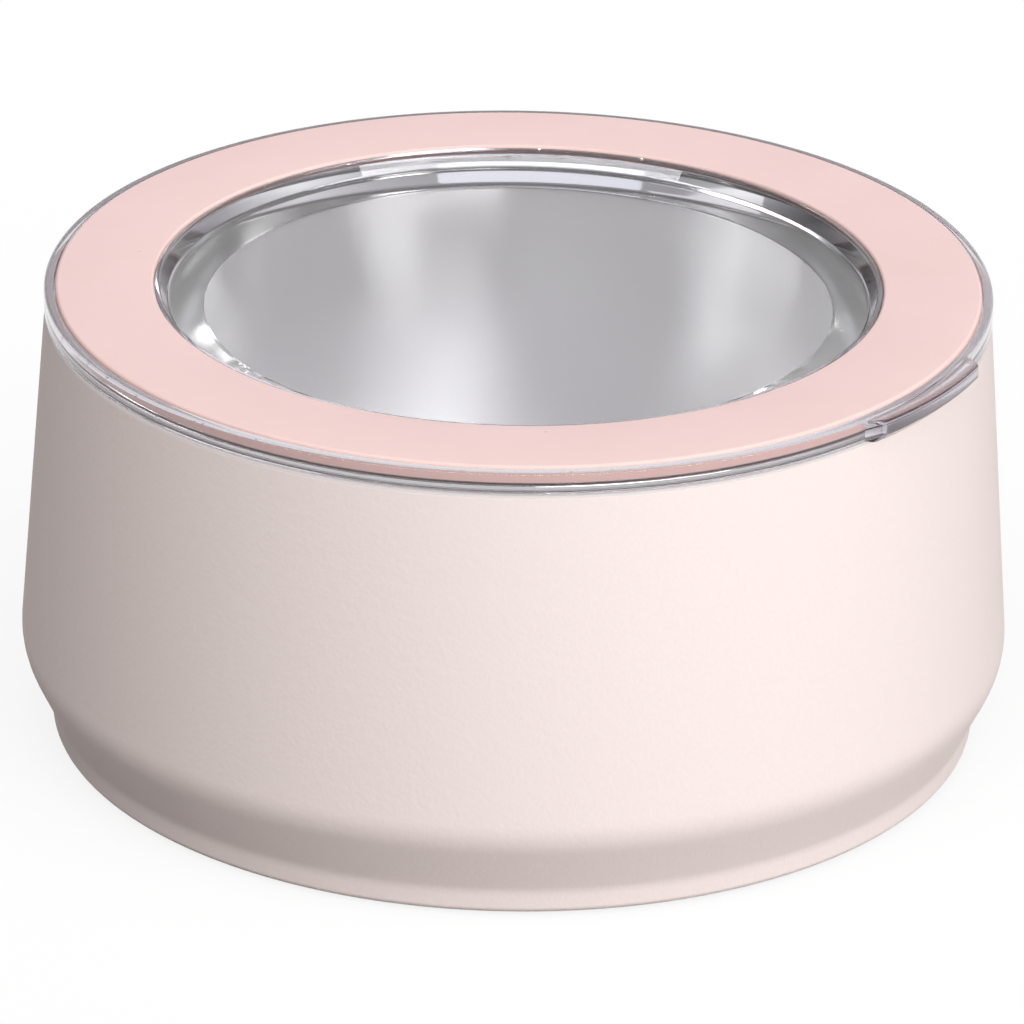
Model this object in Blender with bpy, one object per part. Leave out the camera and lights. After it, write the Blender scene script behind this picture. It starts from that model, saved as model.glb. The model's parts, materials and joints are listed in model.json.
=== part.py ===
"""Insulated pet bowl with a lift-off clear lid.

A powder-coated steel shell carries a stainless bowl by its rim. A pressed base plate and a silicone ring close the
foot. The clear lid has a skirt, a recessed window, a plug wall with a gasket, and a scooped lift tab. A pink ring lies
in the channel and on the ledge on top of it. Metres, +Z up, origin on the floor under the bowl's axis.
"""

import math

import bmesh
import bpy

MM = 0.001

# Fits and wall thicknesses
FIT_GAP = 0.3 * MM              # air between pieces that seat on each other
SHELL_WALL = 1.0 * MM           # powder-coated outer sheet
BOWL_WALL = 1.0 * MM            # stainless bowl sheet
BASE_WALL = 1.0 * MM            # base plate sheet
WINDOW_WALL = 1.8 * MM          # clear plastic under the window
FLANGE_WALL = 0.7 * MM          # clear plastic under the trim ring, in the channel and on the ledge
SKIRT_WALL = 2.0 * MM           # clear skirt and the lip above it
PLUG_WALL = 1.8 * MM            # ring wall from the ledge down into the mouth

# Mouth of the bowl
MOUTH_RADIUS = 85.0 * MM        # inside of the bowl at the rim
RIM_WIDTH = 7.8 * MM            # flat polished rim
RIM_CLEARANCE = 0.5 * MM        # rim edge to the inside of the lid's skirt
BEVEL_DEPTH = 8.5 * MM          # polished bevel below the rim
BEVEL_INSET = 4.1 * MM          # how far the bevel closes in
MOUTH_BEND = 1.0 * MM           # inside bend of the sheet at the rim
BEVEL_BEND = 2.0 * MM           # inside bend of the sheet at the bevel's foot

# Bowl below the bevel
BOWL_DEPTH = 63.7 * MM          # rim to floor
BOWL_DRAFT = 1.4 * MM           # how far the wall closes in towards the floor
FLOOR_FILLET = 24.0 * MM

# Outer shell
PAD_PROUD = 0.6 * MM            # silicone ring below the foot
FOOT_HEIGHT = 5.0 * MM
CHAMFER_HEIGHT = 13.2 * MM
SIDE_HEIGHT = 71.1 * MM         # widest line to the shoulder under the lid
FLUSH_STEP = 0.15 * MM          # shell inside the line of the lid's skirt
SIDE_FLARE = 5.6 * MM           # shell's widest line beyond its top
FOOT_INSET = 6.4 * MM           # foot inside the widest line
SHOULDER_BEND = 0.3 * MM        # inside bend of the sheet at the shoulder
WIDEST_FILLET = 13.4 * MM
FOOT_COVE = 5.3 * MM            # hollow fillet where the taper meets the foot
FOOT_BEND = 0.4 * MM            # inside bend of the sheet at the foot
FOOT_RETURN = 3.0 * MM          # sheet turned in under the foot

# Base plate and the ring under it
BASE_PANEL_RADIUS = 66.0 * MM   # raised middle of the plate
BASE_PANEL_RISE = 1.6 * MM
BASE_PANEL_SLOPE = 4.0 * MM     # width of the slope round it
PAD_WIDTH = 14.0 * MM
PAD_FILLET = 0.5 * MM

# Lid
SKIRT_GAP = 0.4 * MM            # skirt's lower edge to the shell's shoulder
TRIM_THICKNESS = 2.7 * MM       # in the channel, outside the plug wall
TRIM_EDGE = 1.0 * MM            # thinner inner part, on the ledge
TRIM_WIDTH = 19.7 * MM
TRIM_FILLET = 0.7 * MM
LIP_DROP = 0.4 * MM             # clear lips below the trim ring's top
LIP_FILLET = 0.8 * MM
WELL_LIP = 0.8 * MM             # clear lip round the well
WELL_DEPTH = 3.75 * MM          # trim ring's top to the foot of the well's wall
WELL_FLARE = 1.8 * MM           # how far the well's wall closes in
WELL_FILLET = 1.4 * MM
BAND_WIDTH = 7.2 * MM           # sloping band between the well's wall and the window
BAND_DROP = 1.45 * MM
WINDOW_STEP = 0.25 * MM         # fine step round the flat window
PLUG_HEIGHT = 3.2 * MM
BEAD_REACH = 0.9 * MM           # bead beyond the plug wall, which holds the gasket
BEAD_HEIGHT = 0.7 * MM
GASKET_DEPTH = 1.3 * MM         # gasket's width at its foot

# Lift tab
TAB_MIDDLE = math.radians(-33.2)
TAB_LENGTH = 39.6 * MM          # along the skirt
TAB_REACH = 3.05 * MM           # beyond the skirt
TAB_LEAN = 0.8                  # how far each end leans in, as a share of the reach
TAB_DROP = 0.1 * MM             # tab's top below the lip
TAB_FILLET = 0.8 * MM           # its upper outer edge
TAB_UNDER = 1.6 * MM            # flat underside beyond the skirt
TAB_SLOPE = 1.5 * MM            # height of the slope under its outer edge
SCOOP_WIDTH = 2.2 * MM          # finger scoop along the tab's top
SCOOP_DEPTH = 0.35 * MM
SCOOP_OFFSET = 0.7 * MM         # middle of the scoop beyond the skirt
SCOOP_MARGIN = 0.8 * MM         # scoop's ends inside the tab's

# Mesh fineness
SEGMENTS = 48
CHORD_ERROR = 0.15 * MM         # facets of a fillet to its true arc
SCOOP_STEPS = 20
TAB_STEPS = 6
MERGE = 0.00001

# Radii worked out from the mouth
RIM_RADIUS = MOUTH_RADIUS + RIM_WIDTH
SKIRT_INNER = RIM_RADIUS + RIM_CLEARANCE
SKIRT_OUTER = SKIRT_INNER + SKIRT_WALL
SHELL_TOP_RADIUS = SKIRT_OUTER - FLUSH_STEP
WIDEST_RADIUS = SHELL_TOP_RADIUS + SIDE_FLARE
FOOT_RADIUS = WIDEST_RADIUS - FOOT_INSET
BEVEL_RADIUS = MOUTH_RADIUS - BEVEL_INSET
TRIM_OUTER = SKIRT_INNER - FIT_GAP
TRIM_INNER = TRIM_OUTER - TRIM_WIDTH
WELL_OUTER = TRIM_INNER - FIT_GAP
WELL_TOP = WELL_OUTER - WELL_LIP
WELL_FOOT = WELL_TOP - WELL_FLARE
WINDOW_RADIUS = WELL_FOOT - BAND_WIDTH
TAB_OUTER = SKIRT_OUTER + TAB_REACH

# Heights worked out from the floor
FOOT_Z = PAD_PROUD
COVE_Z = FOOT_Z + FOOT_HEIGHT
WIDEST_Z = COVE_Z + CHAMFER_HEIGHT
SHOULDER_Z = WIDEST_Z + SIDE_HEIGHT
RIM_Z = SHOULDER_Z + FIT_GAP + BOWL_WALL
BEVEL_Z = RIM_Z - BEVEL_DEPTH
BOWL_FLOOR_Z = RIM_Z - BOWL_DEPTH
SKIRT_Z = SHOULDER_Z + SKIRT_GAP
FLANGE_Z = RIM_Z + FIT_GAP
SEAT_Z = FLANGE_Z + FLANGE_WALL
TRIM_Z = SEAT_Z + FIT_GAP
TOP_Z = TRIM_Z + TRIM_THICKNESS
TRIM_EDGE_Z = TOP_Z - TRIM_EDGE
LEDGE_Z = TRIM_EDGE_Z - FIT_GAP
LIP_Z = TOP_Z - LIP_DROP
WELL_Z = TOP_Z - WELL_DEPTH
BAND_Z = WELL_Z - BAND_DROP
WINDOW_Z = BAND_Z - WINDOW_STEP
PLUG_Z = FLANGE_Z - PLUG_HEIGHT
BASE_Z = FOOT_Z + SHELL_WALL + FIT_GAP

# The bevel's slope, which the gasket follows
BEVEL_SLOPE = BEVEL_INSET / BEVEL_DEPTH
GASKET_BOTTOM = PLUG_Z + BEAD_HEIGHT + FIT_GAP
GASKET_TOP = FLANGE_Z - FIT_GAP


def bevel_radius(z):
    """Inside radius of the bowl's bevel at a height."""
    return BEVEL_RADIUS + (z - BEVEL_Z) * BEVEL_SLOPE


GASKET_OUTER_BOTTOM = bevel_radius(GASKET_BOTTOM) - FIT_GAP
GASKET_OUTER_TOP = bevel_radius(GASKET_TOP) - FIT_GAP
GASKET_INNER = GASKET_OUTER_BOTTOM - GASKET_DEPTH
PLUG_OUTER = GASKET_INNER - FIT_GAP
PLUG_INNER = PLUG_OUTER - PLUG_WALL


def clear_scene():
    for obj in list(bpy.data.objects):
        bpy.data.objects.remove(obj, do_unlink=True)


def finish(name, colour, roughness, metallic=0.0, transmission=0.0):
    """A Principled material for one sub-part."""
    made = bpy.data.materials.new(name)
    made.use_nodes = True
    shader = made.node_tree.nodes["Principled BSDF"]
    shader.inputs["Base Color"].default_value = (*colour, 1.0)
    shader.inputs["Roughness"].default_value = roughness
    shader.inputs["Metallic"].default_value = metallic
    shader.inputs["Transmission Weight"].default_value = transmission
    return made


def fillet(before, corner, after, radius):
    """Arc points that round one corner, no longer than half of either side."""
    to_before = (before[0] - corner[0], before[1] - corner[1])
    to_after = (after[0] - corner[0], after[1] - corner[1])
    len_before = math.hypot(*to_before)
    len_after = math.hypot(*to_after)
    unit_before = (to_before[0] / len_before, to_before[1] / len_before)
    unit_after = (to_after[0] / len_after, to_after[1] / len_after)
    opening = math.acos(unit_before[0] * unit_after[0] + unit_before[1] * unit_after[1])
    reach = min(radius / math.tan(opening / 2), len_before / 2, len_after / 2)
    used = reach * math.tan(opening / 2)
    bisector = (unit_before[0] + unit_after[0], unit_before[1] + unit_after[1])
    scale = used / math.sin(opening / 2) / math.hypot(*bisector)
    centre = (corner[0] + bisector[0] * scale, corner[1] + bisector[1] * scale)
    start = (corner[0] + unit_before[0] * reach, corner[1] + unit_before[1] * reach)
    end = (corner[0] + unit_after[0] * reach, corner[1] + unit_after[1] * reach)
    first = math.atan2(start[1] - centre[1], start[0] - centre[0])
    last = math.atan2(end[1] - centre[1], end[0] - centre[0])
    turn = (last - first + math.pi) % (2 * math.pi) - math.pi
    facet = 2 * math.acos(max(1 - CHORD_ERROR / used, 0.0))
    steps = math.ceil(abs(turn) / facet)
    angles = [first + turn * i / steps for i in range(steps + 1)]
    return [(centre[0] + used * math.cos(a), centre[1] + used * math.sin(a)) for a in angles]


def rounded(corners, closed):
    """Outline of (radius, height) points from corners of (radius, height, fillet)."""
    outline = []
    last = len(corners) - 1
    for i, (r, z, size) in enumerate(corners):
        at_end = not closed and i in (0, last)
        if size == 0.0 or at_end:
            outline.append((r, z))
            continue
        outline += fillet(corners[i - 1], (r, z), corners[(i + 1) % len(corners)], size)
    return outline


def sheet_back(outline, wall):
    """The other face of a sheet: the outline moved to its right-hand side by the wall, with mitred corners."""
    moved = []
    last = len(outline) - 1
    for i, (r, z) in enumerate(outline):
        r0, z0 = outline[max(i - 1, 0)]
        r1, z1 = outline[min(i + 1, last)]
        normals = []
        for (ar, az), (br, bz) in (((r0, z0), (r, z)), ((r, z), (r1, z1))):
            length = math.hypot(br - ar, bz - az)
            if length > 0.0:
                normals.append(((bz - az) / length, -(br - ar) / length))
        nr = sum(n[0] for n in normals)
        nz = sum(n[1] for n in normals)
        length = math.hypot(nr, nz)
        nr, nz = nr / length, nz / length
        mitre = wall / (nr * normals[0][0] + nz * normals[0][1])
        moved.append((r + nr * mitre, z + nz * mitre))
    return moved


def turned(name, outline, material, closed):
    """A solid of revolution from an outline that runs outwards along the top and back along the bottom."""
    mesh = bpy.data.meshes.new(name)
    count = len(outline)
    edges = [(i, (i + 1) % count) for i in range(count if closed else count - 1)]
    mesh.from_pydata([(r, 0.0, z) for r, z in outline], edges, [])
    mesh.materials.append(material)
    obj = bpy.data.objects.new(name, mesh)
    bpy.context.scene.collection.objects.link(obj)
    screw = obj.modifiers.new("Turn", 'SCREW')
    screw.axis = 'Z'
    screw.angle = 2 * math.pi
    screw.steps = SEGMENTS
    screw.render_steps = SEGMENTS
    screw.use_merge_vertices = True
    screw.merge_threshold = MERGE
    screw.use_smooth_shade = True
    return obj


def sector(name, outline, root, length):
    """A hidden solid that follows the skirt round the tab's middle, with ends that lean in beyond a root radius."""
    bm = bmesh.new()
    rings = []
    for i in range(TAB_STEPS + 1):
        side = 2 * i / TAB_STEPS - 1
        angle = TAB_MIDDLE + side * length / 2 / SKIRT_OUTER
        ring = []
        for r, z in outline:
            shift = -side * TAB_LEAN * (r - root)
            x = r * math.cos(angle) - shift * math.sin(angle)
            y = r * math.sin(angle) + shift * math.cos(angle)
            ring.append(bm.verts.new((x, y, z)))
        rings.append(ring)
    count = len(outline)
    for left, right in zip(rings, rings[1:]):
        for i in range(count):
            j = (i + 1) % count
            bm.faces.new((left[i], left[j], right[j], right[i]))
    bm.faces.new(rings[0])
    bm.faces.new(rings[-1])
    bmesh.ops.recalc_face_normals(bm, faces=bm.faces)
    mesh = bpy.data.meshes.new(name)
    bm.to_mesh(mesh)
    bm.free()
    obj = bpy.data.objects.new(name, mesh)
    obj.hide_render = True
    obj.display_type = 'WIRE'
    bpy.context.scene.collection.objects.link(obj)
    return obj


def combine(obj, other, operation):
    step = obj.modifiers.new(operation.title(), 'BOOLEAN')
    step.operation = operation
    step.solver = 'EXACT'
    step.object = other


def make_outer_shell():
    coat = finish("powder_coat", (0.90, 0.78, 0.75), 0.62)
    shoulder_inner = MOUTH_RADIUS + BOWL_WALL + FIT_GAP
    outside = rounded([
        (shoulder_inner, SHOULDER_Z, 0.0),
        (SHELL_TOP_RADIUS, SHOULDER_Z, SHELL_WALL + SHOULDER_BEND),
        (WIDEST_RADIUS, WIDEST_Z, WIDEST_FILLET),
        (FOOT_RADIUS, COVE_Z, FOOT_COVE),
        (FOOT_RADIUS, FOOT_Z, SHELL_WALL + FOOT_BEND),
        (FOOT_RADIUS - FOOT_RETURN, FOOT_Z, 0.0),
    ], closed=False)
    return turned("outer_shell", outside + sheet_back(outside, SHELL_WALL)[::-1], coat, closed=True)


def make_inner_bowl():
    steel = finish("satin_steel", (0.62, 0.62, 0.61), 0.30, metallic=1.0)
    inside = rounded([
        (0.0, BOWL_FLOOR_Z, 0.0),
        (BEVEL_RADIUS - BOWL_DRAFT, BOWL_FLOOR_Z, FLOOR_FILLET),
        (BEVEL_RADIUS, BEVEL_Z, BOWL_WALL + BEVEL_BEND),
        (MOUTH_RADIUS, RIM_Z, BOWL_WALL + MOUTH_BEND),
        (RIM_RADIUS, RIM_Z, 0.0),
    ], closed=False)
    return turned("inner_bowl", inside + sheet_back(inside, BOWL_WALL)[::-1], steel, closed=False)


def make_base_plate():
    steel = finish("base_steel", (0.60, 0.60, 0.60), 0.35, metallic=1.0)
    edge = FOOT_RADIUS - SHELL_WALL - FIT_GAP
    top = BASE_Z + BASE_WALL
    upper = rounded([
        (0.0, top + BASE_PANEL_RISE, 0.0),
        (BASE_PANEL_RADIUS, top + BASE_PANEL_RISE, 0.0),
        (BASE_PANEL_RADIUS + BASE_PANEL_SLOPE, top, 0.0),
        (edge, top, 0.0),
    ], closed=False)
    return turned("base_plate", upper + sheet_back(upper, BASE_WALL)[::-1], steel, closed=False)


def make_non_slip_ring():
    silicone = finish("ring_silicone", (0.80, 0.56, 0.53), 0.70)
    outer = FOOT_RADIUS - FOOT_RETURN - FIT_GAP
    inner = outer - PAD_WIDTH
    top = BASE_Z - FIT_GAP
    outline = rounded([
        (inner, top, 0.0),
        (outer, top, 0.0),
        (outer, 0.0, PAD_FILLET),
        (inner, 0.0, PAD_FILLET),
    ], closed=True)
    return turned("non_slip_ring", outline, silicone, closed=True)


def make_lid_shell():
    clear = finish("clear_plastic", (0.93, 0.94, 0.97), 0.06, transmission=1.0)
    outline = rounded([
        (0.0, WINDOW_Z, 0.0),
        (WINDOW_RADIUS, WINDOW_Z, 0.0),
        (WINDOW_RADIUS + WINDOW_STEP, BAND_Z, 0.0),
        (WELL_FOOT, WELL_Z, WELL_FILLET),
        (WELL_TOP, LIP_Z, WELL_LIP / 2),
        (WELL_OUTER, LIP_Z, 0.0),
        (WELL_OUTER, LEDGE_Z, 0.0),
        (PLUG_OUTER, LEDGE_Z, 0.0),
        (PLUG_OUTER, SEAT_Z, 0.0),
        (SKIRT_INNER, SEAT_Z, 0.0),
        (SKIRT_INNER, LIP_Z, 0.0),
        (SKIRT_OUTER, LIP_Z, LIP_FILLET),
        (SKIRT_OUTER, SKIRT_Z, LIP_FILLET / 2),
        (SKIRT_INNER, SKIRT_Z, 0.0),
        (SKIRT_INNER, FLANGE_Z, 0.0),
        (PLUG_OUTER, FLANGE_Z, 0.0),
        (PLUG_OUTER, PLUG_Z + BEAD_HEIGHT, 0.0),
        (PLUG_OUTER + BEAD_REACH, PLUG_Z + BEAD_HEIGHT, 0.0),
        (PLUG_OUTER + BEAD_REACH, PLUG_Z, BEAD_HEIGHT / 2),
        (PLUG_INNER, PLUG_Z, 0.0),
        (PLUG_INNER, LEDGE_Z - FLANGE_WALL, 0.0),
        (WELL_OUTER, LEDGE_Z - FLANGE_WALL, 0.0),
        (WELL_FOOT + WELL_LIP, WELL_Z - WINDOW_WALL, WELL_FILLET),
        (WINDOW_RADIUS + WELL_LIP, WINDOW_Z - WINDOW_WALL, 0.0),
        (0.0, WINDOW_Z - WINDOW_WALL, 0.0),
    ], closed=False)
    lid = turned("lid_shell", outline, clear, closed=False)
    root = (SKIRT_INNER + SKIRT_OUTER) / 2
    tab_top = LIP_Z - TAB_DROP
    tab = sector("tab_block", rounded([
        (root, tab_top, 0.0),
        (TAB_OUTER, tab_top, TAB_FILLET),
        (TAB_OUTER, SKIRT_Z + TAB_SLOPE, 0.0),
        (SKIRT_OUTER + TAB_UNDER, SKIRT_Z, 0.0),
        (root, SKIRT_Z, 0.0),
    ], closed=True), root, TAB_LENGTH)
    scoop_radius = SCOOP_WIDTH ** 2 / 8 / SCOOP_DEPTH + SCOOP_DEPTH / 2
    scoop_r = SKIRT_OUTER + SCOOP_OFFSET
    scoop_z = tab_top - SCOOP_DEPTH + scoop_radius
    turns = [2 * math.pi * i / SCOOP_STEPS for i in range(SCOOP_STEPS)]
    circle = [(scoop_r + scoop_radius * math.cos(a), scoop_z - scoop_radius * math.sin(a)) for a in turns]
    scoop = sector("tab_scoop", circle, root, TAB_LENGTH - 2 * SCOOP_MARGIN)
    combine(lid, tab, 'UNION')
    combine(lid, scoop, 'DIFFERENCE')
    return lid


def make_trim_ring():
    soft = finish("trim_silicone", (0.84, 0.62, 0.60), 0.60)
    outline = rounded([
        (TRIM_INNER, TOP_Z, TRIM_FILLET),
        (TRIM_OUTER, TOP_Z, TRIM_FILLET),
        (TRIM_OUTER, TRIM_Z, 0.0),
        (PLUG_OUTER + FIT_GAP, TRIM_Z, 0.0),
        (PLUG_OUTER + FIT_GAP, TRIM_EDGE_Z, 0.0),
        (TRIM_INNER, TRIM_EDGE_Z, 0.0),
    ], closed=True)
    return turned("lid_trim_ring", outline, soft, closed=True)


def make_gasket():
    silicone = finish("gasket_silicone", (0.78, 0.78, 0.78), 0.55)
    outline = [
        (GASKET_INNER, GASKET_TOP),
        (GASKET_OUTER_TOP, GASKET_TOP),
        (GASKET_OUTER_BOTTOM, GASKET_BOTTOM),
        (GASKET_INNER, GASKET_BOTTOM),
    ]
    return turned("lid_gasket", outline, silicone, closed=True)


def main():
    clear_scene()
    make_outer_shell()
    make_inner_bowl()
    make_base_plate()
    make_non_slip_ring()
    lift = bpy.data.objects.new("lid_lift", None)
    bpy.context.scene.collection.objects.link(lift)
    for piece in (make_lid_shell(), make_trim_ring(), make_gasket()):
        piece.parent = lift


main()
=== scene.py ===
import json
import math

import bmesh
import bpy
from mathutils import Matrix, Vector

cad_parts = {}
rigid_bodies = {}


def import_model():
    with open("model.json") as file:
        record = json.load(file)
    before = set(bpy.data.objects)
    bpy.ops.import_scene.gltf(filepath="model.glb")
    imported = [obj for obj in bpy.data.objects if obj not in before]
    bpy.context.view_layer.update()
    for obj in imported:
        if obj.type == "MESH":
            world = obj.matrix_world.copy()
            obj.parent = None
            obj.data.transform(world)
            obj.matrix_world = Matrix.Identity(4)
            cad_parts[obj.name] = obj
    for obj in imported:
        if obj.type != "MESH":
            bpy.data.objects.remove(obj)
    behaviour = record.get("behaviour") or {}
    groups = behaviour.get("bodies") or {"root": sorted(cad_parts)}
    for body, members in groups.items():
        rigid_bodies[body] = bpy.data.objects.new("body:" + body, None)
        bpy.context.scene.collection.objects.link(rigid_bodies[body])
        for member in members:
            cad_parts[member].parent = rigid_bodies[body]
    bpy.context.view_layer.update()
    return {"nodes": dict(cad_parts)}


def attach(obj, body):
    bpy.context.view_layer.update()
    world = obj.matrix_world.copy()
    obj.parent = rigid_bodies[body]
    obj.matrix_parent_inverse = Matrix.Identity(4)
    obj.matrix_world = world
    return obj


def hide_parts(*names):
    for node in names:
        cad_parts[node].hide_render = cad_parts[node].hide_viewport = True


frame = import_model()
scene = bpy.context.scene
scene.view_settings.view_transform = "Standard"
scene.cycles.max_bounces = 28  # light runs a long way inside clear plastic
scene.cycles.glossy_bounces = 20
scene.cycles.transmission_bounces = 20
scene.cycles.transparent_max_bounces = 24
print("frame loaded:", ", ".join(sorted(frame["nodes"])))

mm = 0.001
turnSteps = 288  # facets round the bowl
cornerStep = math.radians(9)  # turn per facet of a rounded corner
cornerFewest = 3  # facets of the smallest corner
cornerShare = 0.49  # the most of a side that one corner takes
sharpTurn = math.radians(38)  # a fold past this stays crisp
weldReach = 0.0000005  # metres


# outlines, in mm from the bowl's axis and from the floor

def cornerArc(before, corner, after, radius):
    toBefore = Vector((before[0] - corner[0], before[1] - corner[1]))
    toAfter = Vector((after[0] - corner[0], after[1] - corner[1]))
    opening = toBefore.angle(toAfter)
    reach = min(radius / math.tan(opening / 2), toBefore.length * cornerShare, toAfter.length * cornerShare)
    used = reach * math.tan(opening / 2)
    middle = (toBefore.normalized() + toAfter.normalized()).normalized()
    centre = Vector(corner[:2]) + middle * (used / math.sin(opening / 2))
    start = Vector(corner[:2]) + toBefore.normalized() * reach - centre
    end = Vector(corner[:2]) + toAfter.normalized() * reach - centre
    first = math.atan2(start.y, start.x)
    turn = (math.atan2(end.y, end.x) - first + math.pi) % (2 * math.pi) - math.pi
    steps = max(cornerFewest, math.ceil(abs(turn) / cornerStep))
    angles = [first + turn * i / steps for i in range(steps + 1)]
    return [(centre.x + used * math.cos(a), centre.y + used * math.sin(a)) for a in angles]


def roundedOutline(corners, closed=True):
    outline = []
    for i, (r, z, radius) in enumerate(corners):
        loose = not closed and i in (0, len(corners) - 1)
        if radius == 0 or loose:
            outline.append((r, z))
        else:
            outline += cornerArc(corners[i - 1], (r, z), corners[(i + 1) % len(corners)], radius)
    return outline


def sheetOutline(face, wall):  # a pressed sheet: its seen face, then the same line one wall behind it
    back = []
    for i, (r, z) in enumerate(face):
        sides = []
        for a, b in ((i - 1, i), (i, i + 1)):
            if a >= 0 and b < len(face):
                along = Vector((face[b][0] - face[a][0], face[b][1] - face[a][1])).normalized()
                sides.append(Vector((along.y, -along.x)))
        middle = sum(sides, Vector((0, 0))).normalized()
        reach = wall / middle.dot(sides[0])
        back.append((r + middle.x * reach, z + middle.y * reach))
    return face + back[::-1]


def columnAt(outline, angle):
    return [Vector((r * math.cos(angle), r * math.sin(angle), z)) * mm for r, z in outline]


def joinColumns(bm, columns, closedTurn, closedOutline):  # quads between neighbouring columns
    rings = [[bm.verts.new(p) for p in column] for column in columns]
    count = len(rings[0])
    for left, right in zip(rings, rings[1:] + rings[:1] if closedTurn else rings[1:]):
        for i in range(count if closedOutline else count - 1):
            j = (i + 1) % count
            bm.faces.new((left[i], left[j], right[j], right[i]))
    return rings


def finishPiece(name, bm, crisp=()):  # crisp: faces whose edges stay sharp
    for face in crisp:
        face.material_index = 1
    bmesh.ops.remove_doubles(bm, verts=bm.verts, dist=weldReach)
    bmesh.ops.recalc_face_normals(bm, faces=bm.faces)
    for edge in bm.edges:
        turn = edge.calc_face_angle(math.pi)
        edge.smooth = turn < sharpTurn and not any(face.material_index for face in edge.link_faces)
    for face in bm.faces:
        face.smooth = True
        face.material_index = 0
    mesh = bpy.data.meshes.new(name)
    bm.to_mesh(mesh)
    bm.free()
    piece = bpy.data.objects.new(name, mesh)
    scene.collection.objects.link(piece)
    return piece


def turnedPiece(name, outline, closed=True):
    bm = bmesh.new()
    angles = [2 * math.pi * i / turnSteps for i in range(turnSteps)]
    joinColumns(bm, [columnAt(outline, a) for a in angles], True, closed)
    return finishPiece(name, bm)


def seatPiece(piece, finish, body, node):
    piece.data.materials.append(finish)
    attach(piece, body)
    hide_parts(node)


# finishes

def paint(red, green, blue):  # a colour as a screen shows it, 0 to 255
    values = [v / 255 for v in (red, green, blue)]
    return (*[v / 12.92 if v <= 0.04045 else ((v + 0.055) / 1.055) ** 2.4 for v in values], 1.0)


def newFinish(name):
    finish = bpy.data.materials.new(name)
    finish.use_nodes = True
    return finish, finish.node_tree, finish.node_tree.nodes["Principled BSDF"]


def addNode(tree, kind, values=None, **settings):
    made = tree.nodes.new("ShaderNode" + kind)
    for key, value in settings.items():
        setattr(made, key, value)
    for key, value in (values or {}).items():
        made.inputs[key].default_value = value
    return made


def addNoise(tree, vector, scale, detail=2.0, rough=0.5):
    noise = addNode(tree, "TexNoise", {"Scale": scale, "Detail": detail, "Roughness": rough})
    tree.links.new(vector, noise.inputs["Vector"])
    return noise.outputs["Fac"]


def addRange(tree, value, low, high, toLow, toHigh):
    spread = addNode(tree, "MapRange", {"From Min": low, "From Max": high, "To Min": toLow, "To Max": toHigh})
    tree.links.new(value, spread.inputs["Value"])
    return spread.outputs["Result"]


def addMix(tree, factor, first, second):  # first and second are colours or colour outputs
    mix = addNode(tree, "Mix", data_type="RGBA")
    tree.links.new(factor, mix.inputs["Factor"])
    sockets = [s for s in mix.inputs if s.type == "RGBA"]
    for value, socket in zip((first, second), sockets):
        if isinstance(value, tuple):
            socket.default_value = value
        else:
            tree.links.new(value, socket)
    return [s for s in mix.outputs if s.type == "RGBA"][0]


def addBump(tree, height, strength, distance, under=None):
    bump = addNode(tree, "Bump", {"Strength": strength, "Distance": distance})
    tree.links.new(height, bump.inputs["Height"])
    if under is not None:
        tree.links.new(under, bump.inputs["Normal"])
    return bump.outputs["Normal"]


def addMaths(tree, operation, first, second=0.0):
    maths = addNode(tree, "Math", operation=operation)
    for value, socket in zip((first, second), maths.inputs):
        if isinstance(value, (int, float)):
            socket.default_value = value
        else:
            tree.links.new(value, socket)
    return maths.outputs["Value"]


def addShaderMix(tree, factor, first, second):
    mix = addNode(tree, "MixShader")
    for value, socket in zip((factor, first, second), mix.inputs):
        tree.links.new(value, socket)
    return mix.outputs[0]


def objectPlace(tree):
    return addNode(tree, "TexCoord").outputs["Object"]


def turningPlace(tree, place, along):  # a space whose lines run round the axis, then radius and height
    split = addNode(tree, "SeparateXYZ")
    tree.links.new(place, split.inputs["Vector"])
    square = addMaths(tree, "ADD", addMaths(tree, "MULTIPLY", split.outputs["X"], split.outputs["X"]),
                      addMaths(tree, "MULTIPLY", split.outputs["Y"], split.outputs["Y"]))
    radius = addMaths(tree, "SQRT", square)
    joined = addNode(tree, "CombineXYZ")
    tree.links.new(radius, joined.inputs["X"])
    tree.links.new(split.outputs["Z"], joined.inputs["Y"])
    tree.links.new(addMaths(tree, "MULTIPLY", split.outputs["X"], along), joined.inputs["Z"])
    return joined.outputs["Vector"], radius, split.outputs["Z"]


# camera

cameraPlace = {
    "location": (0.0, -1.39872, 0.67327),
    "pitch": 24.226,  # degrees below level
    "yaw": -0.026,
    "roll": 0.902,
    "lens": 264.77,  # mm
    "sensor": 36.0,  # mm
    "near": 0.01,
}


def makeCamera():
    pitch, yaw, roll = (math.radians(cameraPlace[k]) for k in ("pitch", "yaw", "roll"))
    ahead = Vector((math.sin(yaw) * math.cos(pitch), math.cos(yaw) * math.cos(pitch), -math.sin(pitch)))
    level = Vector((math.cos(yaw), -math.sin(yaw), 0.0))
    up = level.cross(ahead)
    right = level * math.cos(roll) + up * math.sin(roll)
    top = right.cross(ahead)
    data = bpy.data.cameras.new("photoCamera")
    data.sensor_width = cameraPlace["sensor"]
    data.lens = cameraPlace["lens"]
    data.clip_start = cameraPlace["near"]
    camera = bpy.data.objects.new("photoCamera", data)
    turn = Matrix((right, top, -ahead)).transposed().to_4x4()
    camera.matrix_world = Matrix.Translation(cameraPlace["location"]) @ turn
    scene.collection.objects.link(camera)
    scene.camera = camera


makeCamera()
print("camera placed")


# outer shell

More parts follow.
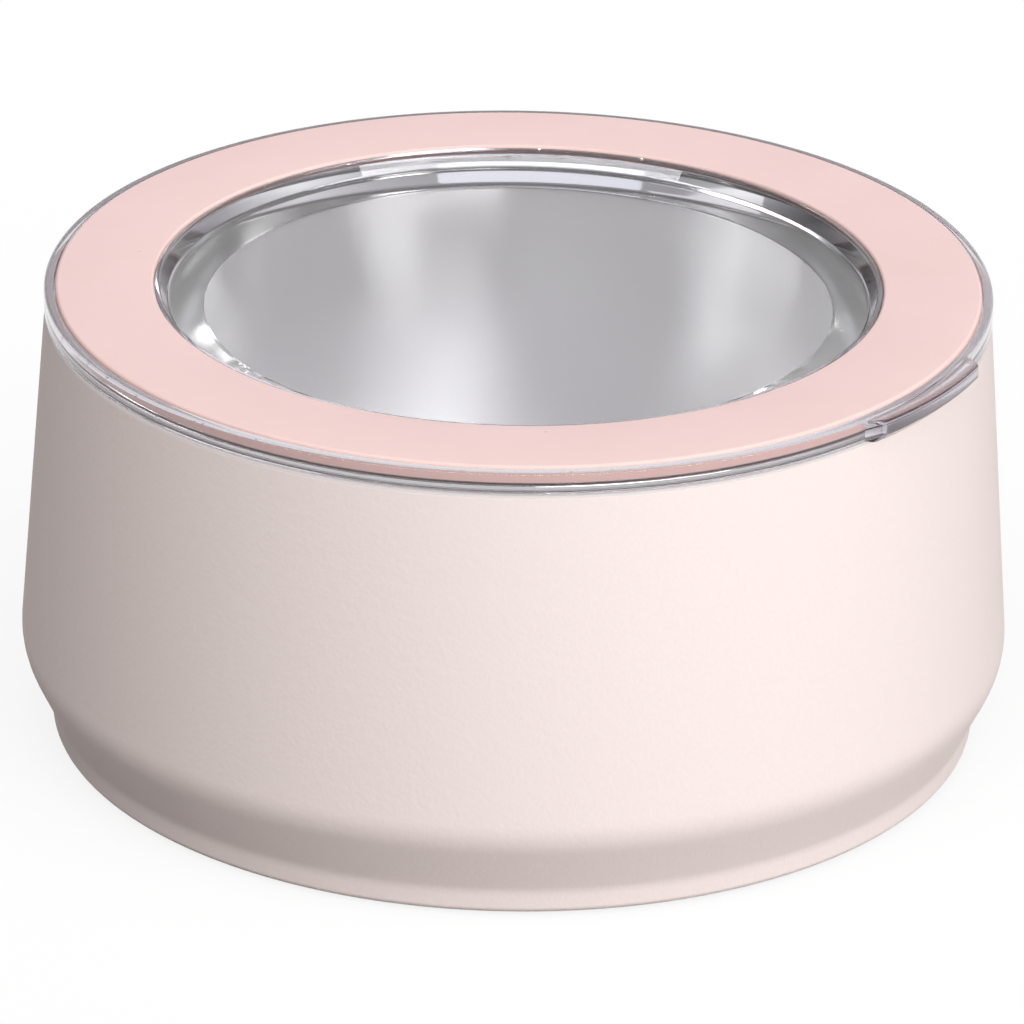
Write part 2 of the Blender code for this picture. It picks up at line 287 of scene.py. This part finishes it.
shellLook = {
    "wall": 0.5,
    "shoulderInner": 86.3, "topRadius": 95.15, "topHeight": 89.9, "shoulderRound": 0.65,
    "widestRadius": 100.71, "widestHeight": 18.8, "widestRound": 13.4,
    "footRadius": 94.35, "coveHeight": 5.6, "coveRound": 5.3,
    "footHeight": 0.6, "footRound": 1.4, "footReturn": 3.0,
    "coat": (246, 233, 229), "coatDeep": (245, 231, 227), "toneSpread": (0.35, 0.65),
    "edge": (214, 206, 205), "edgeFrom": 89.4, "edgeTo": 89.55,  # thin grey line at the shoulder, painted shade where the lid's skirt shades it
    "grain": 1250.0, "grainDetail": 2.0, "grainRough": 0.55, "grainDepth": 0.00008,
    "peel": 420.0, "peelDetail": 1.0, "peelDepth": 0.00008, "bump": 0.5,
    "roughSpread": (0.25, 0.75), "rough": (0.52, 0.66), "shine": 0.2,
}


def powderCoat():
    look = shellLook
    finish, tree, shader = newFinish("powderCoat")
    place = objectPlace(tree)
    grain = addNoise(tree, place, look["grain"], look["grainDetail"], look["grainRough"])
    peel = addNoise(tree, place, look["peel"], look["peelDetail"])
    mottle = addRange(tree, grain, *look["toneSpread"], 0.0, 1.0)
    tone = addMix(tree, mottle, paint(*look["coat"]), paint(*look["coatDeep"]))
    height = turningPlace(tree, place, 0.0)[2]
    # painted shade: the shoulder's top band is greyed where the lid's skirt above it shades it
    edge = addRange(tree, height, look["edgeFrom"] * mm, look["edgeTo"] * mm, 0.0, 1.0)
    tree.links.new(addMix(tree, edge, tone, paint(*look["edge"])), shader.inputs["Base Color"])
    tree.links.new(addRange(tree, grain, *look["roughSpread"], *look["rough"]), shader.inputs["Roughness"])
    under = addBump(tree, peel, look["bump"], look["peelDepth"])
    tree.links.new(addBump(tree, grain, look["bump"], look["grainDepth"], under), shader.inputs["Normal"])
    shader.inputs["Specular IOR Level"].default_value = look["shine"]
    return finish


def makeShell():
    look = shellLook
    face = roundedOutline([
        (look["shoulderInner"], look["topHeight"], 0),
        (look["topRadius"], look["topHeight"], look["shoulderRound"]),
        (look["widestRadius"], look["widestHeight"], look["widestRound"]),
        (look["footRadius"], look["coveHeight"], look["coveRound"]),
        (look["footRadius"], look["footHeight"], look["footRound"]),
        (look["footRadius"] - look["footReturn"], look["footHeight"], 0),
    ], closed=False)
    shell = turnedPiece("outerShell", sheetOutline(face, look["wall"]))
    seatPiece(shell, powderCoat(), "bowl", "outer_shell")


makeShell()
print("outer shell turned")


# inner bowl

bowlLook = {
    "wall": 1.0,
    "mouthRadius": 85.0, "mouthRound": 2.0, "rimRadius": 92.8, "rimHeight": 91.5,
    "curlRound": 0.6, "curlHeight": 90.2,
    "bevelRadius": 80.9, "bevelHeight": 82.7, "bevelRound": 3.0,
    "floorRadius": 79.5, "floorHeight": 27.5, "floorRound": 24.0,
    "steel": (0.715, 0.727, 0.71, 1.0), "steelDeep": (0.695, 0.707, 0.695, 1.0), "toneSpread": (0.3, 0.7),
    "polishFrom": 82.2, "polishTo": 82.9, "satinRough": 0.1, "polishRough": 0.05,
    "lines": 2600.0, "linesDetail": 2.0, "linesRough": 0.6, "linesAlong": 0.02,  # faint turning marks
    "cloud": 30.0, "cloudDetail": 3.0, "marksSpread": (0.6, 1.4), "uneven": 0.02,
    "bump": 0.05, "bumpDepth": 0.000004,
}


def bowlSteel():
    look = bowlLook
    finish, tree, shader = newFinish("bowlSteel")
    place = objectPlace(tree)
    turned, height = turningPlace(tree, place, look["linesAlong"])[::2]
    lines = addNoise(tree, turned, look["lines"], look["linesDetail"], look["linesRough"])
    cloud = addNoise(tree, place, look["cloud"], look["cloudDetail"])
    marks = addMaths(tree, "ADD", lines, cloud)
    polish = addRange(tree, height, look["polishFrom"] * mm, look["polishTo"] * mm,
                      look["satinRough"], look["polishRough"])
    uneven = addRange(tree, marks, *look["marksSpread"], -look["uneven"], look["uneven"])
    tree.links.new(addMaths(tree, "ADD", polish, uneven), shader.inputs["Roughness"])
    mottle = addRange(tree, cloud, *look["toneSpread"], 0.0, 1.0)
    tree.links.new(addMix(tree, mottle, look["steel"], look["steelDeep"]), shader.inputs["Base Color"])
    tree.links.new(addBump(tree, lines, look["bump"], look["bumpDepth"]), shader.inputs["Normal"])
    shader.inputs["Metallic"].default_value = 1.0
    return finish


def makeBowl():
    look = bowlLook
    face = roundedOutline([
        (0.0, look["floorHeight"], 0),
        (look["floorRadius"], look["floorHeight"], look["floorRound"]),
        (look["bevelRadius"], look["bevelHeight"], look["bevelRound"]),
        (look["mouthRadius"], look["rimHeight"], look["mouthRound"]),
        (look["rimRadius"] - look["wall"], look["rimHeight"], 0),
    ], closed=False)
    curl = roundedOutline([
        face[-1] + (0,),
        (look["rimRadius"], look["rimHeight"], look["curlRound"]),
        (look["rimRadius"], look["curlHeight"], look["curlRound"] / 2),
        (look["rimRadius"] - look["wall"], look["curlHeight"], 0),
    ], closed=False)[1:-1]
    sheet = sheetOutline(face, look["wall"])
    bowl = turnedPiece("innerBowl", sheet[:len(face)] + curl + sheet[len(face):], closed=False)
    seatPiece(bowl, bowlSteel(), "bowl", "inner_bowl")


makeBowl()
print("inner bowl turned")


# base plate and the ring under it

baseLook = {
    "wall": 1.0, "edgeRadius": 93.05, "topHeight": 2.9,
    "panelRadius": 66.0, "panelRise": 1.6, "panelSlope": 4.0, "panelRound": 1.5,
    "steel": (0.60, 0.60, 0.60, 1.0), "rough": 0.34, "roughSwing": 0.08,
    "lines": 1800.0, "linesDetail": 3.0, "linesRough": 0.6, "linesAlong": 0.05, "linesSpread": (0.3, 0.7),
    "bump": 0.3, "bumpDepth": 0.00002,
    "ringOuter": 91.05, "ringInner": 77.05, "ringTop": 1.6, "ringRound": 0.5,
    "silicone": (232, 198, 194), "ringRough": 0.6, "ringGrain": 1600.0,
}

siliconeLook = {  # shared by the three soft rings
    "grainDetail": 2.0, "grainRough": 0.55, "roughSpread": (0.25, 0.75), "roughSwing": 0.06,
    "cloud": 60.0, "cloudDetail": 2.0, "toneSpread": (0.3, 0.7), "paler": 1.03,
    "bump": 0.4, "bumpDepth": 0.00002,
}


def baseSteel():
    look = baseLook
    finish, tree, shader = newFinish("baseSteel")
    turned = turningPlace(tree, objectPlace(tree), look["linesAlong"])[0]
    lines = addNoise(tree, turned, look["lines"], look["linesDetail"], look["linesRough"])
    shader.inputs["Base Color"].default_value = look["steel"]
    shader.inputs["Metallic"].default_value = 1.0
    swing = (look["rough"] - look["roughSwing"], look["rough"] + look["roughSwing"])
    tree.links.new(addRange(tree, lines, *look["linesSpread"], *swing), shader.inputs["Roughness"])
    tree.links.new(addBump(tree, lines, look["bump"], look["bumpDepth"]), shader.inputs["Normal"])
    return finish


def softSilicone(name, colour, rough, grain):
    look = siliconeLook
    finish, tree, shader = newFinish(name)
    place = objectPlace(tree)
    fine = addNoise(tree, place, grain, look["grainDetail"], look["grainRough"])
    cloud = addNoise(tree, place, look["cloud"], look["cloudDetail"])
    pale = tuple(min(1.0, c * look["paler"]) for c in colour[:3]) + (1.0,)
    mottle = addRange(tree, cloud, *look["toneSpread"], 0.0, 1.0)
    tree.links.new(addMix(tree, mottle, colour, pale), shader.inputs["Base Color"])
    swing = (rough - look["roughSwing"], rough + look["roughSwing"])
    tree.links.new(addRange(tree, fine, *look["roughSpread"], *swing), shader.inputs["Roughness"])
    tree.links.new(addBump(tree, fine, look["bump"], look["bumpDepth"]), shader.inputs["Normal"])
    return finish, tree, shader


def makeBase():
    look = baseLook
    top = look["topHeight"]
    face = roundedOutline([
        (0.0, top + look["panelRise"], 0),
        (look["panelRadius"], top + look["panelRise"], look["panelRound"]),
        (look["panelRadius"] + look["panelSlope"], top, look["panelRound"]),
        (look["edgeRadius"], top, 0),
    ], closed=False)
    plate = turnedPiece("basePlate", sheetOutline(face, look["wall"]), closed=False)
    seatPiece(plate, baseSteel(), "bowl", "base_plate")
    ring = turnedPiece("nonSlipRing", roundedOutline([
        (look["ringInner"], look["ringTop"], 0),
        (look["ringOuter"], look["ringTop"], 0),
        (look["ringOuter"], 0.0, look["ringRound"]),
        (look["ringInner"], 0.0, look["ringRound"]),
    ]))
    finish = softSilicone("ringSilicone", paint(*look["silicone"]), look["ringRough"], look["ringGrain"])[0]
    seatPiece(ring, finish, "bowl", "non_slip_ring")


makeBase()
print("base plate and non-slip ring turned")


# clear lid

lidLook = {
    "windowRadius": 63.2, "windowHeight": 89.85, "windowStep": 0.5, "bandHeight": 90.0, "windowWall": 1.8,
    "wellFoot": 70.4, "wellHeight": 91.45, "wellRound": 1.4, "wellTop": 72.2, "wellTopRound": 0.35,
    "wellOuter": 73.0, "underReach": 0.8,  # how much wider the well's underside turns
    "ledgeHeight": 94.05, "ledgeWall": 0.45,
    "lipHeight": 94.8, "lipRound": 0.8, "seatHeight": 92.1, "flangeHeight": 91.8, "flangeRound": 0.25,
    "skirtInner": 93.3, "skirtOuter": 95.3, "skirtHeight": 90.3, "skirtRound": 0.4,
    "plugOuter": 82.18, "plugInner": 80.38, "plugHeight": 88.3, "beadReach": 0.9, "beadHeight": 0.7,
    "edge": 0.15,  # small moulded corners
    "tabMiddle": -33.2, "tabLength": 39.6, "tabReach": 3.05,
    "tabLean": 0.8,  # ends lean in by this per mm of reach
    "tabCrest": 1.6, "tabParting": 93.95, "tabNotch": 0.08, "tabDip": 0.35,
    "tabSide": 91.8, "tabUnder": 1.6, "tabChamfer": 0.25, "tabEnd": 0.8,
    "tabSteps": 30, "tabEndSteps": 6, "tabCrestSteps": 8, "lipSteps": 9,
    "ior": 1.52, "tint": (0.985, 0.985, 0.99, 1.0), "passes": (0.95, 0.95, 0.96, 1.0),
    "stain": (0.42, 0.36, 0.45, 1.0), "stainDepth": 105.0,  # thick edges look violet grey
    "flow": 55.0, "flowDetail": 1.0, "flowBump": 0.15, "flowDepth": 0.00004,
    "rubbed": 900.0, "rubbedDetail": 3.0, "rubbedRough": 0.6, "rubbedSpread": (0.3, 0.7),
    "clear": (0.002, 0.016),  # roughness of the polished faces
    "frost": 0.36,  # added on the window's upper face
    "frostEdge": 0.1, "frostFrom": 0.4, "frostTo": 0.2,
}


def frostMask(tree, place):  # 1 on the window's upper face, 0 elsewhere
    look = lidLook
    radius, height = turningPlace(tree, place, 0.0)[1:]
    rim, top, edge = look["windowRadius"], look["windowHeight"], look["frostEdge"]
    inside = addRange(tree, radius, (rim - edge) * mm, (rim + edge) * mm, 1.0, 0.0)
    above = addRange(tree, height, (top - look["frostFrom"]) * mm, (top - look["frostTo"]) * mm, 0.0, 1.0)
    return addMaths(tree, "MULTIPLY", inside, above)


def clearPlastic():
    look = lidLook
    finish, tree, shader = newFinish("clearPlastic")
    shader.inputs["Base Color"].default_value = look["tint"]
    shader.inputs["Transmission Weight"].default_value = 1.0
    shader.inputs["IOR"].default_value = look["ior"]
    place = objectPlace(tree)
    flow = addNoise(tree, place, look["flow"], look["flowDetail"])
    rubbed = addNoise(tree, place, look["rubbed"], look["rubbedDetail"], look["rubbedRough"])
    clear = addRange(tree, rubbed, *look["rubbedSpread"], *look["clear"])
    frosted = addMaths(tree, "MULTIPLY", frostMask(tree, place), look["frost"])
    tree.links.new(addMaths(tree, "ADD", clear, frosted), shader.inputs["Roughness"])
    tree.links.new(addBump(tree, flow, look["flowBump"], look["flowDepth"]), shader.inputs["Normal"])
    path = addNode(tree, "LightPath").outputs  # lamps and blurred reflections pass straight through
    plastic = shader.outputs[0]
    through = addNode(tree, "BsdfTransparent", {"Color": look["passes"]}).outputs[0]
    byLamp = addShaderMix(tree, path["Is Shadow Ray"], plastic, through)
    byMirror = addShaderMix(tree, path["Is Singular Ray"], through, plastic)
    byPath = addShaderMix(tree, path["Is Reflection Ray"], byLamp, byMirror)
    output = tree.nodes["Material Output"]
    tree.links.new(byPath, output.inputs["Surface"])
    depth = addNode(tree, "VolumeAbsorption", {"Color": look["stain"], "Density": look["stainDepth"]})
    tree.links.new(depth.outputs[0], output.inputs["Volume"])
    return finish


def lidOutlines():  # the parts of the lid's outline before the outer lip and after the skirt's foot
    look = lidLook
    edge = look["edge"]
    under = look["windowHeight"] - look["windowWall"]
    bead = look["plugOuter"] + look["beadReach"]
    beadTop = look["plugHeight"] + look["beadHeight"]
    upper = roundedOutline([
        (0.0, look["windowHeight"], 0),
        (look["windowRadius"], look["windowHeight"], edge),
        (look["windowRadius"] + look["windowStep"], look["bandHeight"], edge * 2),
        (look["wellFoot"], look["wellHeight"], look["wellRound"]),
        (look["wellTop"], look["lipHeight"], look["wellTopRound"]),
        (look["wellOuter"], look["lipHeight"], edge),
        (look["wellOuter"], look["ledgeHeight"], edge),
        (look["plugOuter"], look["ledgeHeight"], edge),
        (look["plugOuter"], look["seatHeight"], edge),
        (look["skirtInner"], look["seatHeight"], edge),
        (look["skirtInner"], look["lipHeight"], edge),
        (look["skirtOuter"], look["lipHeight"], 0),
    ], closed=False)[:-1]
    lower = roundedOutline([
        (look["skirtOuter"], look["skirtHeight"], 0),
        (look["skirtInner"], look["skirtHeight"], edge),
        (look["skirtInner"], look["flangeHeight"], look["flangeRound"]),
        (look["plugOuter"], look["flangeHeight"], edge),
        (look["plugOuter"], beadTop, edge / 2),
        (bead, beadTop, edge),
        (bead, look["plugHeight"], edge * 2),
        (look["plugInner"], look["plugHeight"], edge * 2),
        (look["plugInner"], look["ledgeHeight"] - look["ledgeWall"], edge * 2),
        (look["wellOuter"], look["ledgeHeight"] - look["ledgeWall"], edge * 2),
        (look["wellFoot"] + look["underReach"], look["wellHeight"] - look["windowWall"], look["wellRound"]),
        (look["windowRadius"] + look["underReach"], under, edge * 2),
        (0.0, under, 0),
    ], closed=False)[1:]
    return upper, lower


def skirtOutlines(drop):  # the plain lip, skirt and foot, and the tab's outline let in by drop at its ends
    look = lidLook
    lip, outer, foot, roundness = look["lipHeight"], look["skirtOuter"], look["skirtHeight"], look["lipRound"]
    share = drop / look["tabEnd"]
    quarter = [math.pi / 2 * i / look["lipSteps"] for i in range(look["lipSteps"] + 1)]
    crestSteps = look["tabCrestSteps"]
    lipArc = [(outer - roundness * (1 - math.sin(a)), lip - roundness * (1 - math.cos(a))) for a in quarter]
    footArc = cornerArc((outer, lip), (outer, foot), (look["skirtInner"], foot), look["skirtRound"])
    crest = outer + look["tabCrest"]
    side = outer + look["tabReach"] - drop / 2
    start = lipArc[0][0]

    def topAt(r):
        dip = look["tabDip"] * math.sin(math.pi * (r - start) / (crest - start)) ** 2
        return lip - dip * (1 - share)

    tab = [(r, topAt(r) - (lip - z) * share) for r, z in lipArc]
    crestRadii = [outer + look["tabCrest"] * i / crestSteps for i in range(1, crestSteps + 1)]
    tab += [(r, topAt(r) - drop) for r in crestRadii]
    parting, notch = look["tabParting"], look["tabNotch"]
    fall = lip - drop - parting
    tab += [(crest + (side - crest) * math.sin(a), parting + fall * math.cos(a)) for a in quarter[1:]]
    tab += [(side - notch, parting - notch), (side - notch / 4, parting - notch * 2)]
    tab += roundedOutline([
        (side, parting - notch * 2, 0),
        (side, look["tabSide"], look["tabChamfer"]),
        (outer + look["tabUnder"] - drop / 2, foot, look["tabChamfer"]),
        footArc[-1] + (0,),
    ], closed=False)[1:]
    return lipArc, footArc, tab


def makeLid():
    look = lidLook
    upper, lower = lidOutlines()
    outer, end, ends = look["skirtOuter"], look["tabEnd"], look["tabEndSteps"]
    lipArc, footArc = skirtOutlines(end)[:2]
    plain = upper + lipArc + footArc + lower
    middle, half = math.radians(look["tabMiddle"]), look["tabLength"] / 2

    def tabColumn(drop, inset, across):  # across: -1 to 1 along the tab between its insets
        points = []
        for r, z in upper + skirtOutlines(drop)[2] + lower:
            reach = half - look["tabLean"] * max(0.0, r - outer) - inset
            points.append(columnAt([(r, z)], middle + across * reach / outer)[0])
        return points

    def endColumns(side):
        turns = [math.pi / 2 * i / ends for i in range(ends)]
        return [tabColumn(end * (1 - math.sin(a)), end * (1 - math.cos(a)), side) for a in turns]

    sweep = 2 * half / outer
    rest = 2 * math.pi - sweep
    first = middle + sweep / 2
    bm = bmesh.new()
    plainColumns = [columnAt(plain, first + rest * i / turnSteps) for i in range(turnSteps + 1)]
    rings = joinColumns(bm, plainColumns, False, False)
    along = [-1 + 2 * i / look["tabSteps"] for i in range(look["tabSteps"] + 1)]
    columns = endColumns(-1) + [tabColumn(0.0, end, a) for a in along] + endColumns(1)[::-1]
    tabRings = joinColumns(bm, columns, False, False)
    caps = []  # the tab's two ends, between its first columns and the skirt's
    shared = len(upper) + len(lipArc) - 1
    for skirtRing, tabRing in ((rings[-1], tabRings[0]), (rings[0], tabRings[-1])):
        tabSide = tabRing[shared:len(tabRing) - len(lower)]
        skirtSide = skirtRing[shared + 1:len(plain) - len(lower) - 1]
        caps.append(bm.faces.new(tabSide + skirtSide[::-1]))
    lid = finishPiece("clearLid", bm, caps)
    seatPiece(lid, clearPlastic(), "lid", "lid_shell")


makeLid()
print("clear lid swept, with its tab")


# trim ring and gasket

trimLook = {
    "inner": 73.3, "outer": 93.0, "bottom": 92.15, "top": 95.2, "round": 0.7,
    "step": 82.48, "innerBottom": 94.1,
    "face": (240, 210, 207), "faceDeep": (237, 206, 203), "cloud": 50.0, "cloudDetail": 3.0,
    "toneSpread": (0.3, 0.7), "rough": 0.55, "grain": 2200.0, "shine": 0.3,
    "edge": (250, 208, 196), "edgeFrom": 0.05, "edgeTo": 0.5,  # mm below the top; a painted highlight, lighter orange-pink on the rounded edges and sides
    "fleck": (222, 186, 182), "fleckScale": 170.0, "fleckSize": (0.04, 0.075), "fleckRare": 0.93,
    "gasketInner": 82.48, "gasketTop": 91.2, "gasketBottom": 89.3,
    "gasketOuterTop": 84.7, "gasketOuterBottom": 83.78, "gasketRound": 0.2,
    "gasket": (226, 226, 226), "gasketRough": 0.45, "gasketGrain": 1500.0,
}


def trimSilicone():
    look = trimLook
    finish, tree, shader = softSilicone("trimSilicone", paint(*look["face"]), look["rough"], look["grain"])
    place = objectPlace(tree)
    height = turningPlace(tree, place, 0.0)[2]
    cloud = addNoise(tree, place, look["cloud"], look["cloudDetail"])
    mottle = addRange(tree, cloud, *look["toneSpread"], 0.0, 1.0)
    plainFace = addMix(tree, mottle, paint(*look["face"]), paint(*look["faceDeep"]))
    cells = addNode(tree, "TexVoronoi", {"Scale": look["fleckScale"]})
    tree.links.new(place, cells.inputs["Vector"])
    spot = addRange(tree, cells.outputs["Distance"], *look["fleckSize"], 1.0, 0.0)
    pick = addNode(tree, "SeparateColor")
    tree.links.new(cells.outputs["Color"], pick.inputs["Color"])
    rare = addMaths(tree, "GREATER_THAN", pick.outputs["Red"], look["fleckRare"])
    flecked = addMix(tree, addMaths(tree, "MULTIPLY", spot, rare), plainFace, paint(*look["fleck"]))
    top = look["top"]
    # painted highlight: below the flat top the rounded edges and sides turn a lighter orange-pink
    drop = addRange(tree, height, (top - look["edgeFrom"]) * mm, (top - look["edgeTo"]) * mm, 0.0, 1.0)
    tree.links.new(addMix(tree, drop, flecked, paint(*look["edge"])), shader.inputs["Base Color"])
    shader.inputs["Specular IOR Level"].default_value = look["shine"]
    return finish


def makeTrim():
    look = trimLook
    trim = turnedPiece("lidTrimRing", roundedOutline([
        (look["inner"], look["top"], look["round"]),
        (look["outer"], look["top"], look["round"]),
        (look["outer"], look["bottom"], 0),
        (look["step"], look["bottom"], 0),
        (look["step"], look["innerBottom"], 0),
        (look["inner"], look["innerBottom"], 0),
    ]))
    seatPiece(trim, trimSilicone(), "lid", "lid_trim_ring")
    gasket = turnedPiece("lidGasket", roundedOutline([
        (look["gasketInner"], look["gasketTop"], look["gasketRound"]),
        (look["gasketOuterTop"], look["gasketTop"], look["gasketRound"]),
        (look["gasketOuterBottom"], look["gasketBottom"], look["gasketRound"]),
        (look["gasketInner"], look["gasketBottom"], look["gasketRound"]),
    ]))
    colour = paint(*look["gasket"])
    finish = softSilicone("gasketSilicone", colour, look["gasketRough"], look["gasketGrain"])[0]
    seatPiece(gasket, finish, "lid", "lid_gasket")


makeTrim()
print("trim ring and gasket turned")


# floor, studio and lamps

warm = (1.0, 0.985, 0.96)
white = (1.0, 1.0, 1.0)
studioLook = {
    "floorSize": 14.0, "floorRough": 0.9, "floorShine": 0.1,
    "floorSeen": (0.9, 0.9, 0.9, 1.0), "floorBounce": (0.185, 0.17, 0.165, 1.0),
    "floorGlow": 0.84, "glowFrom": 0.11, "glowTo": 0.34,
    "fill": 0.01,
    "lobes": {  # broad soft light on matt surfaces
        "key": {"azimuth": 44.0, "elevation": 12.0, "power": 4.0, "glow": 3.5},
        "top": {"azimuth": -22.0, "elevation": 68.0, "power": 7.0, "glow": 2.95},
        "back": {"azimuth": 175.0, "elevation": 30.0, "power": 2.0, "glow": 0.22},
    },
    "room": {  # tone round the room, by azimuth
        -180: 1.15, -160: 0.7, -140: 0.35, -125: 0.2, -108: 0.1, -95: 0.12, -82: 0.35, -66: 0.8, -45: 0.58,
        22: 0.7, 45: 0.95, 66: 1.5, 80: 1.2, 95: 0.7, 110: 0.7, 140: 1.1, 160: 1.4, 180: 1.15,
    },
    "roomLow": 1.15, "lowFrom": 0.03, "lowTo": 0.2,
    "roomHighFront": 0.3, "roomHighBack": 0.8, "highFrom": 0.6, "highTo": 0.75, "frontToBack": (-0.3, 0.5),
    "stopReach": 0.001,  # a ramp stop this near a wanted place is used again
    "aim": (0, 0, 0.06),  # what the softboxes face
    "softboxes": {
        "leftSoftbox": {
            "azimuth": -106.0, "elevation": 37.0, "distance": 2.4, "size": (1.05, 0.5),
            "glow": 12.0, "colour": warm, "lights": "innerBowl"},
        "backSoftbox": {
            "azimuth": -132.0, "elevation": 26.0, "distance": 2.4, "size": (2.4, 0.5),
            "glow": 5.0, "colour": warm, "lights": "innerBowl"},
        "rightSoftbox": {
            "azimuth": 32.0, "elevation": 41.0, "distance": 2.4, "size": (1.75, 0.5),
            "glow": 10.5, "colour": (1.0, 0.985, 0.97), "lights": "innerBowl"},
        "topSoftbox": {
            "azimuth": 28.0, "elevation": 59.0, "distance": 2.4, "size": (0.7, 0.35),
            "glow": 17.0, "colour": white, "lights": "innerBowl"},
        "lowSoftbox": {
            "azimuth": -56.0, "elevation": 16.5, "distance": 2.4, "size": (1.5, 0.42),
            "glow": 1.0, "colour": white, "lights": "innerBowl"},
        "frontSoftbox": {
            "azimuth": -6.0, "elevation": 24.0, "distance": 2.2, "size": (2.3, 0.5),
            "glow": 1.15, "colour": (0.93, 0.97, 1.06)},
        "lidSoftbox": {
            "azimuth": 0.0, "elevation": 33.0, "distance": 2.0, "size": (6.0, 0.22),
            "glow": 12.0, "colour": white, "lights": "clearLid"},
    },
}


def mirroredRay(tree, path):
    return addMaths(tree, "MAXIMUM", path["Is Glossy Ray"], path["Is Transmission Ray"])


def seenRay(tree, path):
    return addMaths(tree, "MAXIMUM", path["Is Camera Ray"], mirroredRay(tree, path))


def towards(azimuth, elevation):  # azimuth from the viewer's side, positive to the right
    a, e = math.radians(azimuth), math.radians(elevation)
    return Vector((math.sin(a) * math.cos(e), -math.cos(a) * math.cos(e), math.sin(e)))


def makeFloor():
    look = studioLook
    finish, tree, shader = newFinish("floorPaper")
    shader.inputs["Base Color"].default_value = look["floorBounce"]
    shader.inputs["Roughness"].default_value = look["floorRough"]
    shader.inputs["Specular IOR Level"].default_value = look["floorShine"]
    seen = addNode(tree, "BsdfDiffuse", {"Color": look["floorSeen"]})
    glow = addNode(tree, "Emission")
    radius = turningPlace(tree, objectPlace(tree), 0.0)[1]
    share = addRange(tree, radius, look["glowFrom"], look["glowTo"], look["floorGlow"], 1.0)
    paper = addShaderMix(tree, share, seen.outputs[0], glow.outputs[0])
    path = addNode(tree, "LightPath").outputs
    both = addShaderMix(tree, seenRay(tree, path), shader.outputs[0], paper)
    tree.links.new(both, tree.nodes["Material Output"].inputs["Surface"])
    half = look["floorSize"] / 2
    mesh = bpy.data.meshes.new("floor")
    corners = [(-half, -half, 0), (half, -half, 0), (half, half, 0), (-half, half, 0)]
    mesh.from_pydata(corners, [], [(0, 1, 2, 3)])
    mesh.materials.append(finish)
    floor = bpy.data.objects.new("floor", mesh)
    scene.collection.objects.link(floor)


def softLobe(tree, direction, lobe):  # light that falls off round one direction
    dot = addNode(tree, "VectorMath", operation="DOT_PRODUCT")
    tree.links.new(direction, dot.inputs[0])
    dot.inputs[1].default_value = towards(lobe["azimuth"], lobe["elevation"])
    facing = addMaths(tree, "MAXIMUM", dot.outputs["Value"], 0.0)
    return addMaths(tree, "MULTIPLY", addMaths(tree, "POWER", facing, lobe["power"]), lobe["glow"])


def roomTone(tree, direction):  # what polished and clear surfaces mirror
    look = studioLook
    split = addNode(tree, "SeparateXYZ")
    tree.links.new(direction, split.inputs["Vector"])
    turn = addMaths(tree, "ARCTAN2", split.outputs["X"], addMaths(tree, "MULTIPLY", split.outputs["Y"], -1.0))
    ramp = addNode(tree, "ValToRGB")
    tree.links.new(addRange(tree, turn, -math.pi, math.pi, 0.0, 1.0), ramp.inputs["Fac"])
    stops = ramp.color_ramp.elements
    for azimuth, tone in look["room"].items():
        place = azimuth / 360 + 0.5
        near = [s for s in stops if abs(s.position - place) < look["stopReach"]]
        stop = near[0] if near else stops.new(place)
        stop.color = (tone, tone, tone, 1.0)
    high = addRange(tree, split.outputs["Y"], *look["frontToBack"],
                    look["roomHighFront"], look["roomHighBack"])
    toHigh = addRange(tree, split.outputs["Z"], look["highFrom"], look["highTo"], 0.0, 1.0)
    toLow = addRange(tree, split.outputs["Z"], look["lowFrom"], look["lowTo"], 1.0, 0.0)
    low = (look["roomLow"],) * 3 + (1.0,)
    return addMix(tree, toLow, addMix(tree, toHigh, ramp.outputs["Color"], high), low)


def makeWorld():
    look = studioLook
    world = bpy.data.worlds.new("studio")
    scene.world = world
    world.use_nodes = True
    world.cycles.sampling_method = "NONE"
    tree = world.node_tree
    direction = addNode(tree, "TexCoord").outputs["Generated"]
    glow = look["fill"]
    for lobe in look["lobes"].values():
        glow = addMaths(tree, "ADD", softLobe(tree, direction, lobe), glow)
    soft = tree.nodes["Background"]
    soft.inputs["Color"].default_value = (1, 1, 1, 1)
    tree.links.new(glow, soft.inputs["Strength"])
    backdrop = addNode(tree, "Background", {"Color": (1, 1, 1, 1), "Strength": 1.0})
    room = addNode(tree, "Background", {"Strength": 1.0})
    tree.links.new(roomTone(tree, direction), room.inputs["Color"])
    path = addNode(tree, "LightPath").outputs
    light = addShaderMix(tree, mirroredRay(tree, path), soft.outputs[0], room.outputs[0])
    shown = addShaderMix(tree, path["Is Camera Ray"], light, backdrop.outputs[0])
    tree.links.new(shown, tree.nodes["World Output"].inputs["Surface"])


def makeSoftboxes():
    aim = Vector(studioLook["aim"])
    for name, box in studioLook["softboxes"].items():
        away = towards(box["azimuth"], box["elevation"])
        data = bpy.data.lights.new(name, "AREA")
        data.shape = "RECTANGLE"
        data.size, data.size_y = box["size"]
        data.color = box["colour"]
        data.energy = box["glow"] * math.pi * data.size * data.size_y
        lamp = bpy.data.objects.new(name, data)
        lamp.location = aim + away * box["distance"]
        lamp.rotation_euler = away.to_track_quat("Z", "Y").to_euler()
        lamp.visible_camera = False
        lamp.visible_diffuse = False
        scene.collection.objects.link(lamp)
        if "lights" in box:  # this lamp lights one piece only
            lit = bpy.data.collections.new(name)
            lit.objects.link(bpy.data.objects[box["lights"]])
            lamp.light_linking.receiver_collection = lit


makeFloor()
makeWorld()
makeSoftboxes()
print("floor, studio and lamps set")
